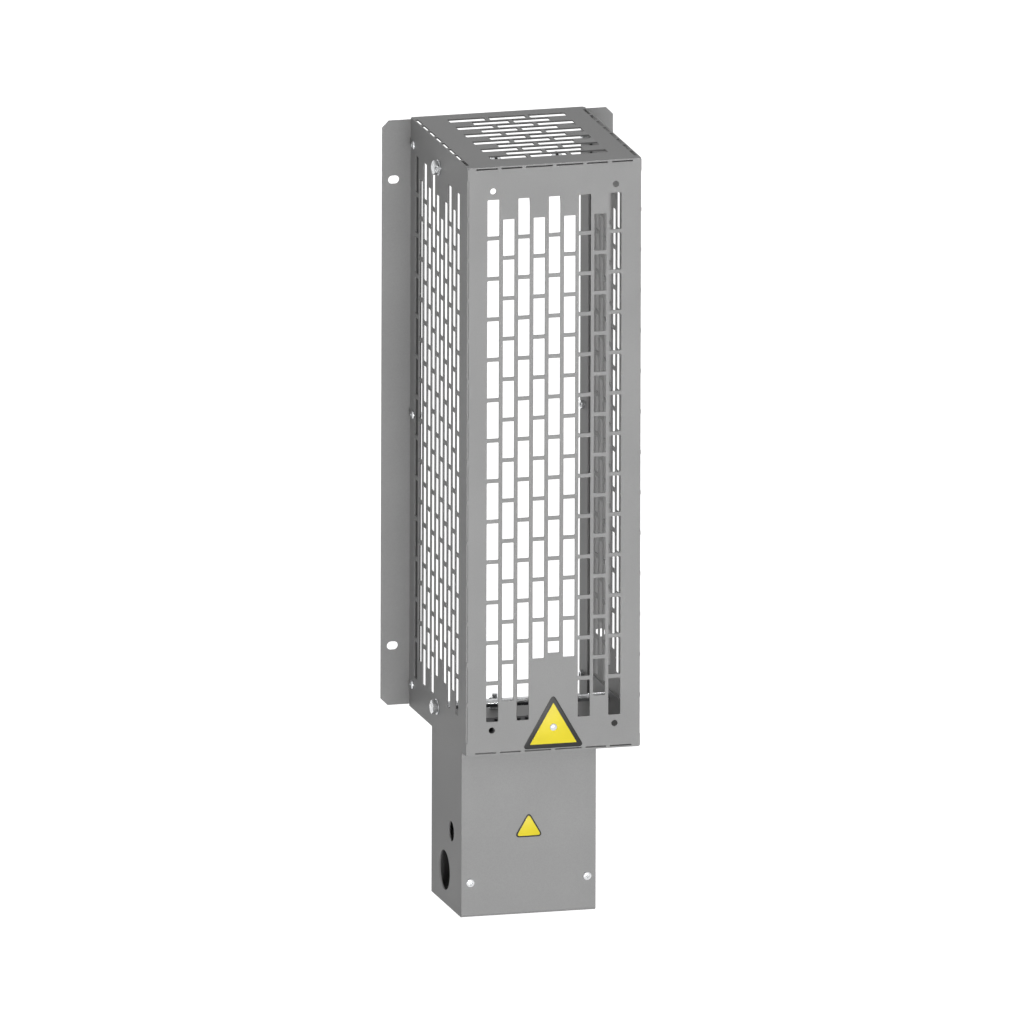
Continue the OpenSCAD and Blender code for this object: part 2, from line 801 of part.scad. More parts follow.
module box_screws() {
    color(zinc) in_frame() box_screw_places() translate([0, 0, box_top - sheet_t]) rotate([180, 0, 0])
        pan_screw(flange_screw_d, 2 * sheet_t - box_top);
}

module cover_nuts() {
    z = box_top - box_h + cover_screw_z;
    color(zinc) in_frame() for (x = cover_screws_x) translate([x, wrap_front + sheet_t, z]) along_y()
        hex_nut(cover_screw_d * 1.8, cover_screw_d + 2 * cover_gap, cover_nut_h);
}

module terminal_rail() {
    length = box_w - 2 * bend_r - 8;
    half = [[0, din_half], [0, din_step], [din_depth - din_t, din_step]];
    back = [[din_depth, din_step + din_t], [din_t, din_step + din_t], [din_t, din_half]];
    color(zinc) in_frame() translate([cover_mid_x - length / 2, din_front, din_z]) along_x()
        linear_extrude(length) polygon(concat(half, [for (i = [2 : -1 : 0]) [half[i][0], -half[i][1]]],
            [for (i = [2 : -1 : 0]) [back[i][0], -back[i][1]]], back));
}

module terminal_body(x, w) {
    difference() {
        translate([x, din_front - terminal_d, din_z]) along_x() linear_extrude(w) polygon([
            [0, -terminal_h * 0.3], [terminal_d * 0.45, -terminal_h / 2], [terminal_d, -terminal_h / 2],
            [terminal_d, terminal_h / 2], [terminal_d * 0.45, terminal_h / 2], [0, terminal_h * 0.3]]);
        for (z = [-1, 1]) {
            translate([x + w / 2, din_front - terminal_d - 1, din_z + z * terminal_h * 0.2]) along_y()
                cylinder(d = w * 0.55, h = 9, $fn = 20);
            translate([x + w / 2, din_front - terminal_d * 0.62, din_z + z * terminal_h * 0.36])
                rotate([z > 0 ? 0 : 180, 0, 0]) cylinder(d = w * 0.5, h = terminal_h, $fn = 20);
        }
    }
}

module power_terminal_1() { color(terminal_grey) in_frame() terminal_body(power_x1, power_w); }

module power_terminal_2() { color(terminal_grey) in_frame() terminal_body(power_x2, power_w); }

module earth_terminal() { color("olivedrab") in_frame() terminal_body(earth_x, power_w); }

module switch_terminals() {
    color(terminal_grey) in_frame() for (x = [switch_x1, switch_x2]) terminal_body(x, switch_w);
}

module end_stops() {
    color(terminal_grey) in_frame() for (x = [power_x1 - stop_w - terminal_gap, terminals_end])
        translate([x, din_front - terminal_d / 2, din_z - terminal_h / 2 + 1])
            cube([stop_w, terminal_d / 2, terminal_h - 2]);
}

module terminal_screws() {
    color(zinc) in_frame() for (t = [[power_x1, power_w], [power_x2, power_w], [earth_x, power_w],
            [switch_x1, switch_w], [switch_x2, switch_w]], z = [-1, 1])
        translate([t[0] + t[1] / 2, din_front - terminal_d + 4, din_z + z * terminal_h * 0.2]) along_y()
            cylinder(d = t[1] * 0.55, h = 4, $fn = 20);
}

function bezier(a, b, c, d, t) =
    pow(1 - t, 3) * a + 3 * pow(1 - t, 2) * t * b + 3 * (1 - t) * t * t * c + t * t * t * d;

module lead(a, b, c, d, diameter) {
    steps = 14;
    sides = 8;
    path = [for (i = [0 : steps]) bezier(a, b, c, d, i / steps)];
    rings = [for (i = [0 : steps]) let (
            ahead = path[min(i + 1, steps)] - path[max(i - 1, 0)],
            t = ahead / norm(ahead),
            u = cross(t, [1, 0, 0]) / norm(cross(t, [1, 0, 0])),
            v = cross(t, u))
        for (k = [0 : sides - 1]) let (a = 360 * k / sides)
            path[i] + diameter / 2 * (cos(a) * u + sin(a) * v)];
    faces = concat(
        [[for (k = [0 : sides - 1]) k]],
        [[for (k = [0 : sides - 1]) steps * sides + sides - 1 - k]],
        [for (i = [0 : steps - 1], k = [0 : sides - 1])
            let (low = i * sides, high = low + sides, next = (k + 1) % sides)
            [low + next, low + k, high + k, high + next]]);
    polyhedron(points = rings, faces = faces, convexity = 4);
}

module power_lead(i, x) {
    start = lug_end + [rod_xs[i], 0, 0];
    finish = [x + power_w / 2, entry_y, entry_z + 0.4];
    color(lead_white) in_frame()
        lead(start, start + lead_dip, finish + lead_rise, finish, power_lead_d);
}

module power_lead_1() { power_lead(0, power_x1); }

module power_lead_2() { power_lead(rod_count - 1, power_x2); }

module switch_leads() {
    color(lead_white) in_frame() for (k = [0, 1]) {
        start = [switch_x + (2 * k - 1) * blade_x, opening_y, blade_z];
        finish = [(k == 0 ? switch_x1 : switch_x2) + switch_w / 2, entry_y, entry_z + 0.4];
        lead(start, start + switch_lead_dips[k], finish + switch_lead_rise, finish, switch_lead_d);
    }
}

function sharp_side(side, r) = side + 2 * r * (sqrt(3) - 1);

function inradius(side, r) = sharp_side(side, r) / (2 * sqrt(3));

function polar(r, angle) = r * [cos(angle), sin(angle)];

module triangle(inner_r, r) {
    places = [for (k = [0 : 2]) polar(2 * (inner_r - r), 90 + 120 * k)];
    polygon([for (k = [0 : 2], e = [-60, 60]) places[k] + polar(r - tangent_step, 90 + 120 * k + e)]);
    for (place = places) translate(place) circle(r);
}

module large_triangle_plate() {
    color(border_grey) in_frame() translate([0, 0, large_centre_z]) rotate([90, 0, 0])
        linear_extrude(plate_t) difference() {
            triangle(large_inradius, plate_r);
            translate([0, end_inset - large_centre_z]) circle(d = rivet_d);
        }
}

module large_triangle_field() {
    color(yellow) in_frame() translate([0, -plate_t, large_centre_z]) rotate([90, 0, 0])
        linear_extrude(field_t) difference() {
            triangle(large_inradius - border_w, field_r);
            translate([0, end_inset - large_centre_z]) circle(d = rivet_d);
        }
}

module plate_rivet() {
    grip = plate_t + field_t + sheet_t;
    color(zinc) in_frame() translate([0, -plate_t - field_t, end_inset]) rotate([90, 0, 0]) {
        dome(rivet_head_d / 2, rivet_head_h);
        translate([0, 0, -grip - rivet_tail_h]) cylinder(d = rivet_d, h = grip + rivet_tail_h + 0.1);
        translate([0, 0, -grip - rivet_tail_h]) cylinder(d = 1.5 * rivet_d, h = rivet_tail_h);
    }
}

module cover_section() {
    inner_r = bend_r - sheet_t;
    difference() {
        union() {
            translate([0, bend_r]) square([sheet_t, box_h - bend_r - cover_gap]);
            translate([bend_r, 0]) square([cover_return, sheet_t]);
            translate([bend_r, bend_r]) circle(bend_r);
        }
        translate([bend_r, bend_r]) circle(inner_r);
        translate([bend_r, sheet_t]) square([2 * bend_r, 2 * bend_r]);
        translate([sheet_t, bend_r]) square([2 * bend_r, 2 * bend_r]);
    }
}

module terminal_cover() {
    z = box_top - box_h;
    color(steel) in_frame() difference() {
        translate([box_left, box_inset, z]) along_x() linear_extrude(box_w) cover_section();
        for (x = [box_left - 1, box_right - sheet_t - cover_gap])
            translate([x, box_inset + sheet_t, z - 1])
                cube([sheet_t + cover_gap + 1, cover_return + bend_r, 2 * bend_r]);
        for (x = cover_screws_x) translate([x, box_inset - 1, z + cover_screw_z]) along_y()
            cylinder(d = cover_screw_d, h = sheet_t + 2);
    }
}

module cover_screws() {
    z = box_top - box_h + cover_screw_z;
    color(zinc) in_frame() for (x = cover_screws_x) translate([x, box_inset, z]) rotate([90, 0, 0])
        pan_screw(cover_screw_d, 2 * sheet_t + cover_gap + cover_nut_h);
}

module small_triangle_plate() {
    color(border_grey) in_frame() translate([cover_mid_x, box_inset, small_centre_z]) rotate([90, 0, 0])
        linear_extrude(plate_t) triangle(small_inradius, small_plate_r);
}

module small_triangle_field() {
    color(yellow) in_frame() translate([cover_mid_x, box_inset - plate_t, small_centre_z])
        rotate([90, 0, 0]) linear_extrude(field_t) triangle(small_inradius - small_border_w, field_r);
}

front_panel();
left_side_panel();
right_side_panel();
roof_panel();
floor_tray();
left_wall_rail();
right_wall_rail();
left_seal_strip();
right_seal_strip();
rail_screws();
rail_nuts();
upper_tie_rod();
lower_tie_rod();
tie_rod_washers();
tie_rod_nuts();
hanger_nuts();
hanger_plates();
support_rod();
support_rod_nuts();
ceramic_spools();
resistor_rod_1();
resistor_rod_2();
resistor_rod_3();
resistor_rod_4();
element_flange();
flange_screws();
flange_nuts();
rod_bushings();
bushing_nuts();
ceramic_beads();
terminal_pins();
series_links();
pin_nuts();
thermal_switch();
floor_stud();
floor_stud_nuts();
terminal_box();
box_screws();
cover_nuts();
terminal_rail();
power_terminal_1();
power_terminal_2();
earth_terminal();
switch_terminals();
end_stops();
terminal_screws();
power_lead_1();
power_lead_2();
switch_leads();
large_triangle_plate();
large_triangle_field();
plate_rivet();
terminal_cover();
cover_screws();
small_triangle_plate();
small_triangle_field();
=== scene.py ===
import json
import math

import bmesh
import bpy
from mathutils import Matrix, Vector


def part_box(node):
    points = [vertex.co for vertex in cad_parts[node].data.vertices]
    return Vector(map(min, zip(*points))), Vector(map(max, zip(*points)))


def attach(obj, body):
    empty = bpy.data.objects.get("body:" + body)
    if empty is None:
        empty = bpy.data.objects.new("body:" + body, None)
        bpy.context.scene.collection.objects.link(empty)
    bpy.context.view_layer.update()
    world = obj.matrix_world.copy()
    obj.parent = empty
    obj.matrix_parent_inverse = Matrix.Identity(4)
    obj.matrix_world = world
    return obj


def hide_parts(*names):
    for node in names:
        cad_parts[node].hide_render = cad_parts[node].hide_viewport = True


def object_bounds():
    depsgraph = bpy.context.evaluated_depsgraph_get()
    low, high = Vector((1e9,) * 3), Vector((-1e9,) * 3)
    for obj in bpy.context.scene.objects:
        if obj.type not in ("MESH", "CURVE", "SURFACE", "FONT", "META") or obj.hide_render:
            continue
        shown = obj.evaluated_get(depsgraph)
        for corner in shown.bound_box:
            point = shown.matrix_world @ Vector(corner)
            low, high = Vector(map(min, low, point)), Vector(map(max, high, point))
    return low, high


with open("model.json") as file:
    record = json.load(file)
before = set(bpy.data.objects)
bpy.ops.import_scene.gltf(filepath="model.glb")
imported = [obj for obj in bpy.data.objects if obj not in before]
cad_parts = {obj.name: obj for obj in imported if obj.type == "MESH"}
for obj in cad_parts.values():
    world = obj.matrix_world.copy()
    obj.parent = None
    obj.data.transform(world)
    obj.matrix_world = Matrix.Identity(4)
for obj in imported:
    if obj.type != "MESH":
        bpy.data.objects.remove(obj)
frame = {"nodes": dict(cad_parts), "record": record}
CAD_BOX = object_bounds()
MM = 0.001
SAME_POINT = 1e-6  # points closer than this are one
nodes = frame["nodes"]
scene = bpy.context.scene

# Camera of the photograph: parallel view, one millimetre to a pixel
PHOTO_WIDTH = 1024
PHOTO_MIDDLE = (512.0, 512.0)
CORNER_PIXEL = (466.2, 756.8)
VIEW_AZIMUTH = math.radians(15.1)
VIEW_ELEVATION = math.radians(13.92)
VIEW_ROLL = math.radians(0.16)
VIEW_DISTANCE = 2.5
VIEW_REACH = 20.0


def cage_corner():
    """The cage's lower left front corner, which the photograph shows at CORNER_PIXEL."""
    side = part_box("left_side_panel")[0]
    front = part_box("floor_tray")[0]
    return Vector((side.x, front.y, front.z))


def make_camera():
    """Looks along the photograph's direction and puts the cage's corner on its pixel."""
    across, ahead = math.sin(VIEW_AZIMUTH), math.cos(VIEW_AZIMUTH)
    forward = Vector((across * math.cos(VIEW_ELEVATION), ahead * math.cos(VIEW_ELEVATION),
                      -math.sin(VIEW_ELEVATION)))
    right = Matrix.Rotation(-VIEW_ROLL, 3, forward) @ Vector((ahead, -across, 0.0))
    up = right.cross(forward)
    shift = [(PHOTO_MIDDLE[i] - CORNER_PIXEL[i]) * MM for i in (0, 1)]
    middle = cage_corner() + right * shift[0] - up * shift[1]
    data = bpy.data.cameras.new("camera")
    data.type = "ORTHO"
    data.ortho_scale = PHOTO_WIDTH * MM
    data.clip_end = VIEW_REACH
    camera = bpy.data.objects.new("camera", data)
    scene.collection.objects.link(camera)
    turn = Matrix((right, up, -forward)).transposed()
    camera.matrix_world = Matrix.Translation(middle - forward * VIEW_DISTANCE) @ turn.to_4x4()
    scene.camera = camera


make_camera()


# Shader nodes

NOISE_RANGE = (0.3, 0.7)
MIX_SHARE, MIX_FIRST, MIX_SECOND, MIX_OUT = 0, 6, 7, 2  # the mix node's sockets for colours


def new_material(name):
    material = bpy.data.materials.new(name)
    material.use_nodes = True
    tree = material.node_tree
    return material, tree, tree.nodes["Principled BSDF"]


def add(tree, kind, **values):
    """A node with its sockets or settings given by name."""
    node = tree.nodes.new(kind)
    for key, value in values.items():
        if key in node.inputs:
            node.inputs[key].default_value = value
        else:
            setattr(node, key, value)
    return node


def object_place(tree, scale=(1.0, 1.0, 1.0)):
    coordinates = add(tree, "ShaderNodeTexCoord")
    mapping = add(tree, "ShaderNodeMapping", Scale=scale)
    tree.links.new(coordinates.outputs["Object"], mapping.inputs["Vector"])
    return mapping.outputs["Vector"]


def noise(tree, place, scale, detail):
    node = add(tree, "ShaderNodeTexNoise", Scale=scale, Detail=detail)
    tree.links.new(place, node.inputs["Vector"])
    return node.outputs["Fac"]


def ramp(tree, factor, start, start_colour, end, end_colour):
    """Blends from one colour to the other while the factor goes from start to end."""
    node = add(tree, "ShaderNodeValToRGB")
    first, last = node.color_ramp.elements
    first.position, first.color = start, (*start_colour, 1.0)
    last.position, last.color = end, (*end_colour, 1.0)
    tree.links.new(factor, node.inputs["Fac"])
    return node.outputs["Color"]


def spread(tree, factor, low, high):
    """Turns a noise's usual range into the one from low to high."""
    node = add(tree, "ShaderNodeMapRange")
    sockets = ("From Min", "From Max", "To Min", "To Max")
    for socket, value in zip(sockets, (*NOISE_RANGE, low, high)):
        node.inputs[socket].default_value = value
    tree.links.new(factor, node.inputs["Value"])
    return node.outputs["Result"]


def bump(tree, height, strength, distance):
    node = add(tree, "ShaderNodeBump", Strength=strength, Distance=distance)
    tree.links.new(height, node.inputs["Height"])
    return node.outputs["Normal"]


def grey(value):
    return (value, value, value)


def shade(base, share):
    return tuple(c * share for c in base)


# Finishes

def coated_steel(name, base, rough=0.42):
    """Satin coated sheet: fine pebbling, faint cloudiness, and scuffs that stay inside the tone."""
    material, tree, shader = new_material(name)
    place = object_place(tree)
    cloud = noise(tree, place, scale=9.0, detail=4.0)
    grain = noise(tree, place, scale=900.0, detail=2.0)
    tone = ramp(tree, cloud, 0.32, shade(base, 0.955), 0.68, shade(base, 1.045))
    speck = ramp(tree, grain, 0.3, grey(0.93), 0.7, grey(1.0))
    mix = add(tree, "ShaderNodeMix", data_type="RGBA", blend_type="MULTIPLY")
    mix.inputs[MIX_SHARE].default_value = 1.0
    tree.links.new(tone, mix.inputs[MIX_FIRST])
    tree.links.new(speck, mix.inputs[MIX_SECOND])
    tree.links.new(mix.outputs[MIX_OUT], shader.inputs["Base Color"])
    tree.links.new(spread(tree, cloud, rough - 0.05, rough + 0.07), shader.inputs["Roughness"])
    tree.links.new(bump(tree, grain, strength=0.25, distance=0.2 * MM), shader.inputs["Normal"])
    shader.inputs["Specular IOR Level"].default_value = 0.06
    return material


def plated(name, base, rough=0.28, stretch=(1.0, 1.0, 1.0)):
    """Plated or drawn metal with fine tool marks."""
    material, tree, shader = new_material(name)
    marks = noise(tree, object_place(tree, stretch), scale=260.0, detail=3.0)
    haze = noise(tree, object_place(tree), scale=60.0, detail=2.0)
    tree.links.new(ramp(tree, haze, 0.3, shade(base, 0.92), 0.7, base), shader.inputs["Base Color"])
    tree.links.new(spread(tree, marks, rough - 0.07, rough + 0.1), shader.inputs["Roughness"])
    tree.links.new(bump(tree, marks, strength=0.15, distance=0.1 * MM), shader.inputs["Normal"])
    shader.inputs["Metallic"].default_value = 1.0
    return material


def moulded(name, base, rough=0.5, sheen=0.0):
    """Moulded plastic, rubber or enamel with a fine grain."""
    material, tree, shader = new_material(name)
    place = object_place(tree)
    grain = noise(tree, place, scale=1400.0, detail=2.0)
    cloud = noise(tree, place, scale=35.0, detail=2.0)
    tree.links.new(ramp(tree, cloud, 0.3, shade(base, 0.9), 0.7, base), shader.inputs["Base Color"])
    tree.links.new(spread(tree, grain, rough - 0.05, rough + 0.08), shader.inputs["Roughness"])
    tree.links.new(bump(tree, grain, strength=0.3, distance=0.1 * MM), shader.inputs["Normal"])
    shader.inputs["Sheen Weight"].default_value = sheen
    shader.inputs["Specular IOR Level"].default_value = 0.25
    return material


def glazed_ceramic():
    material, tree, shader = new_material("glazed ceramic")
    cloud = noise(tree, object_place(tree), scale=120.0, detail=4.0)
    tree.links.new(ramp(tree, cloud, 0.35, (0.62, 0.58, 0.5), 0.65, (0.78, 0.75, 0.68)),
                   shader.inputs["Base Color"])
    tree.links.new(spread(tree, cloud, 0.18, 0.32), shader.inputs["Roughness"])
    tree.links.new(bump(tree, cloud, strength=0.1, distance=0.2 * MM), shader.inputs["Normal"])
    shader.inputs["Coat Weight"].default_value = 0.4
    return material


def braided_sleeve():
    """Glass-fibre sleeve: two crossing sets of fine ribs."""
    material, tree, shader = new_material("braided sleeve")
    both = add(tree, "ShaderNodeMath", operation="MULTIPLY")
    for i, lean in enumerate((1.0, -1.0)):
        coordinates = add(tree, "ShaderNodeTexCoord")
        turn = add(tree, "ShaderNodeMapping",
                   Rotation=(math.radians(45.0) * lean, math.radians(30.0) * lean, 0.0))
        wave = add(tree, "ShaderNodeTexWave", Scale=260.0, Distortion=0.6)
        tree.links.new(coordinates.outputs["Object"], turn.inputs["Vector"])
        tree.links.new(turn.outputs["Vector"], wave.inputs["Vector"])
        tree.links.new(wave.outputs["Fac"], both.inputs[i])
    weave = both.outputs[0]
    tree.links.new(ramp(tree, weave, 0.1, (0.5, 0.46, 0.38), 0.7, (0.72, 0.68, 0.6)),
                   shader.inputs["Base Color"])
    tree.links.new(bump(tree, weave, strength=0.5, distance=0.3 * MM), shader.inputs["Normal"])
    shader.inputs["Roughness"].default_value = 0.75
    return material


FINISHES = {
    "coated_steel": coated_steel("coated steel", grey(0.37)),
    "dark_steel": coated_steel("dark coated steel", (0.07, 0.07, 0.074), rough=0.5),
    "rod_sheath": plated("drawn sheath", (0.34, 0.32, 0.3), rough=0.36, stretch=(6.0, 6.0, 0.3)),
    "zinc": plated("zinc plating", (0.66, 0.67, 0.68), rough=0.2),
    # near-black seal: its colour paints the shade seen through the side panel's slots
    "black_seal": moulded("black seal", grey(0.012), rough=0.8, sheen=0.2),
    "ceramic": glazed_ceramic(),
    "copper": plated("copper strip", (0.7, 0.38, 0.25), rough=0.32),
    "black_plastic": moulded("black moulding", grey(0.02)),
    "grey_plastic": moulded("grey moulding", (0.27, 0.28, 0.275)),
    "earth_plastic": moulded("green moulding", (0.16, 0.32, 0.05)),
    "lead_sleeve": braided_sleeve(),
    "plate_rim": moulded("dark enamel", grey(0.03), rough=0.4),
    "plate_field": moulded("yellow enamel", (0.93, 0.78, 0.04), rough=0.38),
}


def dress_frame():
    """Gives every CAD node the finish of its material slot."""
    slots = {part["node"]: part["material_slot"] for part in frame["record"]["subparts"]}
    for name, node in nodes.items():
        node.data.materials.clear()
        node.data.materials.append(FINISHES[slots[name]])


dress_frame()


# Modelling helpers

SLIVER = 2e-6
FLAT_BELOW = math.radians(0.5)
SMOOTH_BELOW = math.radians(35.0)
TURNS = {  # each points a part that was made along Z to a side
    "x": Matrix.Rotation(math.radians(90.0), 4, "Y"),
    "-x": Matrix.Rotation(math.radians(-90.0), 4, "Y"),
    "y": Matrix.Rotation(math.radians(-90.0), 4, "X"),
    "-y": Matrix.Rotation(math.radians(90.0), 4, "X"),
    "z": Matrix.Identity(4),
    "-z": Matrix.Rotation(math.radians(180.0), 4, "X"),
}


def select_only(*pieces):
    """Selects these pieces and nothing else; the first is the active one."""
    bpy.ops.object.select_all(action="DESELECT")
    for piece in pieces:
        piece.select_set(True)
    bpy.context.view_layer.objects.active = pieces[0]


def begin(name, add_primitive, **values):
    """A new primitive on its own: the only selected object, and the active one."""
    bpy.ops.object.select_all(action="DESELECT")
    add_primitive(**values)
    piece = bpy.context.object
    piece.name = name
    return piece


def block(name, low, high):
    """Box between two corners."""
    piece = begin(name, bpy.ops.mesh.primitive_cube_add, size=1.0)
    piece.data.transform(Matrix.Translation((low + high) / 2) @ Matrix.Diagonal((*(high - low), 1.0)))
    return piece


def open_mesh(kind):
    """Goes into edit mode with everything selected, as vertices, edges or faces."""
    bpy.ops.object.mode_set(mode="EDIT")
    bpy.ops.mesh.select_mode(type=kind)
    bpy.ops.mesh.select_all(action="SELECT")


def close_mesh():
    bpy.ops.object.mode_set(mode="OBJECT")


def pick_faces(piece, wanted):
    """In edit mode, leaves only the faces selected whose normal is wanted."""
    bpy.ops.mesh.select_mode(type="FACE")
    bpy.ops.mesh.select_all(action="DESELECT")
    mesh = bmesh.from_edit_mesh(piece.data)
    for face in mesh.faces:
        face.select_set(wanted(face.normal))
    bmesh.update_edit_mesh(piece.data)


def pick_edges(piece, wanted):
    """In edit mode, leaves only the edges selected whose two ends are wanted."""
    bpy.ops.mesh.select_mode(type="EDGE")
    bpy.ops.mesh.select_all(action="DESELECT")
    mesh = bmesh.from_edit_mesh(piece.data)
    for edge in mesh.edges:
        edge.select_set(all(wanted(vertex.co) for vertex in edge.verts))
    bmesh.update_edit_mesh(piece.data)


def finish_modifier(piece, kind, **values):
    """Adds a modifier and applies it."""
    modifier = piece.modifiers.new(kind.lower(), kind)
    for key, value in values.items():
        setattr(modifier, key, value)
    select_only(piece)
    bpy.ops.object.modifier_apply(modifier=modifier.name)


def cut_with(piece, operation, tool):
    """Cuts a piece by a tool, joins them or keeps what they share; the tool is used up."""
    finish_modifier(piece, "BOOLEAN", operation=operation, object=tool, solver="EXACT")
    bpy.data.objects.remove(tool)


def clear_slivers(piece):
    """Takes out the needle faces that a cut leaves behind."""
    select_only(piece)
    open_mesh("VERT")
    bpy.ops.mesh.dissolve_degenerate(threshold=SLIVER)
    close_mesh()


def apply_place(piece):
    piece.data.transform(piece.matrix_world)
    piece.matrix_world = Matrix.Identity(4)


def middle_of(low, high):
    return (low + high) / 2


def solids(node):
    """The box of each separate solid of a CAD node, in order of place."""
    mesh = bmesh.new()
    mesh.from_mesh(nodes[node].data)
    bmesh.ops.remove_doubles(mesh, verts=mesh.verts[:], dist=SAME_POINT)
    left = set(mesh.verts)
    boxes = []
    while left:
        group, waiting = [], [left.pop()]
        while waiting:
            vertex = waiting.pop()
            group.append(vertex.co)
            near = {edge.other_vert(vertex) for edge in vertex.link_edges} & left
            left -= near
            waiting.extend(near)
        low, high = (Vector([end(c) for c in zip(*group)]) for end in (min, max))
        boxes.append((low, high))
    mesh.free()
    return sorted(boxes, key=lambda box: [round(c, 4) for c in box[0] + box[1]])


def axis_of(side):
    """The axis that a side lies on; "out" is away from the cage's middle, along X."""
    return 0 if side == "out" else "xyz".index(side[-1])


def facing(side, spot):
    """The side itself, and for "out" the one that points away from the cage's middle."""
    if side != "out":
        return side
    return "x" if spot.x > 0 else "-x"


def length_of(node, side):
    """How long a node's solids are along a side's axis, in millimetres."""
    low, high = solids(node)[0]
    axis = axis_of(side)
    return (high[axis] - low[axis]) / MM


def spots(node, side):
    """Where each solid of a node stands and its turn: the middle of the end that it starts from."""
    axis = axis_of(side)
    places = []
    for low, high in solids(node):
        spot = middle_of(low, high)
        towards = facing(side, spot)
        spot[axis] = high[axis] if towards[0] == "-" else low[axis]
        places.append((spot, TURNS[towards]))
    return places


def settle(piece, body, finish, node):
    """Gives a finished piece its finish and body, in place of a CAD node."""
    select_only(piece)
    bpy.ops.object.shade_smooth_by_angle(angle=SMOOTH_BELOW)
    piece.data.materials.clear()
    piece.data.materials.append(FINISHES[finish])
    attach(piece, body)
    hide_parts(node)


def join_pieces(name, pieces):
    select_only(*pieces)
    if len(pieces) > 1:
        bpy.ops.object.join()
    pieces[0].name = name
    return pieces[0]


def set_of_copies(name, master, placed, body, finish, node):
    """Copies of one modelled master, each with its own mesh, gathered in one piece."""
    copies = []
    for spot, turn in placed:
        copy = bpy.data.objects.new(name, master.data.copy())
        scene.collection.objects.link(copy)
        copy.data.transform(Matrix.Translation(spot) @ turn)
        copies.append(copy)
    bpy.data.objects.remove(master)
    settle(join_pieces(name, copies), body, finish, node)


def merged_copy(name, node):
    """A node's form as one clean mesh, free to be worked on."""
    piece = nodes[node].copy()
    piece.data = nodes[node].data.copy()
    piece.parent = None
    piece.matrix_world = Matrix.Identity(4)
    piece.name = name
    scene.collection.objects.link(piece)
    select_only(piece)
    open_mesh("VERT")
    bpy.ops.mesh.remove_doubles(threshold=SAME_POINT)
    bpy.ops.mesh.dissolve_limited(angle_limit=FLAT_BELOW)
    close_mesh()
    for key in list(piece.keys()):
        if key.startswith("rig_"):
            del piece[key]
    return piece


# Outlines of turned parts: (radius, height) points in millimetres

THREAD_FORM = ((0.1, 0.0), (0.3, 0.0), (0.6, 1.0), (0.8, 1.0))


def turned(name, outline, segments=40):
    """Turned part: an outline spun once round Z."""
    points = [Vector((radius * MM, 0.0, height * MM)) for radius, height in outline]
    piece = begin(name, bpy.ops.mesh.primitive_plane_add, size=1.0)
    open_mesh("VERT")
    bpy.ops.mesh.merge(type="CENTER")
    bpy.ops.transform.translate(value=points[0])
    for before, after in zip(points, points[1:]):
        bpy.ops.mesh.extrude_vertices_move(TRANSFORM_OT_translate={"value": after - before})
    bpy.ops.mesh.select_all(action="SELECT")
    bpy.ops.mesh.spin(steps=segments, angle=math.tau, center=(0.0, 0.0, 0.0), axis=(0.0, 0.0, 1.0))
    bpy.ops.mesh.select_all(action="SELECT")
    bpy.ops.mesh.remove_doubles(threshold=SAME_POINT)
    bpy.ops.mesh.normals_make_consistent(inside=False)
    close_mesh()
    return piece


def thread_line(radius, start, end, pitch, depth):
    """A thread's crests and roots from one height to another."""
    sign = 1 if end > start else -1
    points = []
    for turn in range(int(abs(end - start) / pitch)):
        at = start + sign * turn * pitch
        points += [(radius - sunk * depth, at + sign * part * pitch) for part, sunk in THREAD_FORM]
    return points


def ring_line(outer, bore, height, edge):
    """Washer, spool or bead with broken edges, as a closed outline."""
    return [(bore, edge), (bore + edge, 0.0), (outer - edge, 0.0), (outer, edge), (outer, height - edge),
            (outer - edge, height), (bore + edge, height), (bore, height - edge), (bore, edge)]


def washer_line(length):
    return ring_line(outer=8.0, bore=4.0, height=length, edge=0.25)


def spool_line(length):
    return ring_line(outer=10.0, bore=3.0, height=length, edge=0.9)


def bead_line(length):
    return ring_line(outer=3.5, bore=1.2, height=length, edge=0.6)


def tie_rod_line(length, radius=4.0, threaded=32.0, pitch=1.25, depth=0.62):
    """Rod with a chamfer and a thread at each end."""
    chamfer = 0.8
    line = [(0.0, 0.0), (radius - chamfer, 0.0), (radius, chamfer)]
    line += thread_line(radius, chamfer, threaded, pitch, depth)
    line += [(radius, threaded), (radius, length - threaded)]
    line += thread_line(radius, length - threaded, length - chamfer, pitch, depth)
    return line + [(radius, length - chamfer), (radius - chamfer, length), (0.0, length)]


def support_rod_line(length):
    return tie_rod_line(length, radius=3.0, threaded=12.0, pitch=1.0, depth=0.5)


def rivet_line(length):
    """From the spread tail up to the domed head."""
    head, dome, stem, tail, edge = 3.9, 1.8, 1.6, 1.0, 0.2
    flat = length - dome
    line = [(0.0, 0.3), (stem * 0.7, 0.0), (stem * 1.5, 0.3), (stem * 1.5, tail), (stem, tail), (stem, flat),
            (head - edge, flat), (head, flat + edge)]
    for angle in (80, 66, 52, 38, 24, 12):
        out, up = math.sin(math.radians(angle)), math.cos(math.radians(angle))
        line.append((head * out, flat + dome * up ** 0.8))
    return line + [(0.0, length)]


def stud_line(length):
    """Stud with its round head below and a thread above."""
    radius, head, head_height, neck, edge, chamfer = 3.0, 6.0, 3.3, 1.5, 0.6, 0.8
    shoulder = head_height + neck
    line = [(0.0, 0.0), (head - edge, 0.0), (head, edge), (head, head_height), (radius, head_height),
            (radius, shoulder)]
    line += thread_line(radius, shoulder, length - chamfer, pitch=1.0, depth=0.5)
    return line + [(radius, length - chamfer), (radius - chamfer, length), (0.0, length)]


# Nuts and screws: sizes in millimetres

